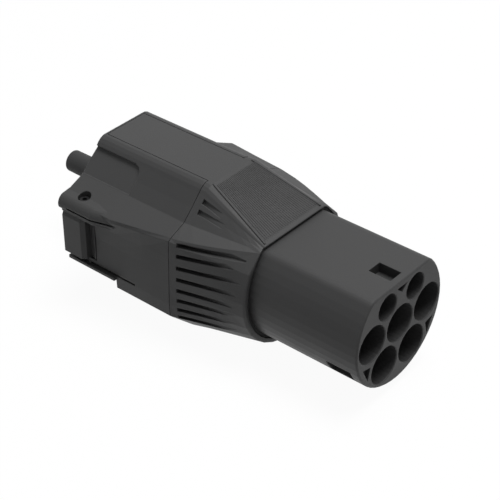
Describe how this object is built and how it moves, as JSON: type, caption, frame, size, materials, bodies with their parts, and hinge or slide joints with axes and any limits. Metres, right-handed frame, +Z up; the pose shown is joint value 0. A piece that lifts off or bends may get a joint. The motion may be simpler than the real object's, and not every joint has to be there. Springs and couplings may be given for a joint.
{
  "type": "ev charging plug",
  "caption": "Charging plug for an electric car: D-shaped pin nose with open wells, ribbed and grooved collar, boxy rear housing with a side latch and a short cable sleeve.",
  "frame": {"origin": "on the flat underside of the rear housing, below the plug's axis", "axes": "+X out of the contact nose along the plug's axis, +Z up through the flat of the nose"},
  "size_m": [0.1746, 0.0776, 0.0647],
  "materials": {
    "shell_plastic": "fine matte grain, dark grey",
    "inner_plastic": "plain matte, near black",
    "rubber": "matte black",
    "contact_metal": "bright plated",
    "steel": "plain steel",
    "dark_steel": "blackened steel"
  },
  "bodies": {
    "plug": {"nose_shell": "shell_plastic", "front_shell": "shell_plastic", "rear_housing": "shell_plastic", "rear_cover": "shell_plastic", "pin_retainer": "inner_plastic", "cable_clamp": "inner_plastic", "nose_seal": "rubber", "cable_sleeve": "rubber", "pin_earth": "contact_metal", "pin_neutral": "contact_metal", "pin_line_1": "contact_metal", "pin_line_2": "contact_metal", "pin_line_3": "contact_metal", "pin_pilot": "contact_metal", "pin_proximity": "contact_metal", "retainer_screw_1": "steel", "retainer_screw_2": "steel", "retainer_screw_3": "steel", "nose_screw_1": "steel", "nose_screw_2": "steel", "nose_screw_3": "steel", "nose_screw_4": "steel", "clamp_screw_1": "steel", "clamp_screw_2": "steel", "latch_spring": "steel", "latch_pin": "dark_steel"},
    "latch": {"side_latch": "shell_plastic"}
  },
  "joints": [
    {"name": "latch_pivot", "type": "hinge", "parent": "plug", "child": "latch", "pos_m": [-0.0324, -0.0338, 0.031], "axis": [0, 0, -1], "range_deg": [0, 10], "stiffness_Nm_per_rad": 0.06, "springref_deg": -11.46, "deforming": ["latch_spring"]}
  ]
}
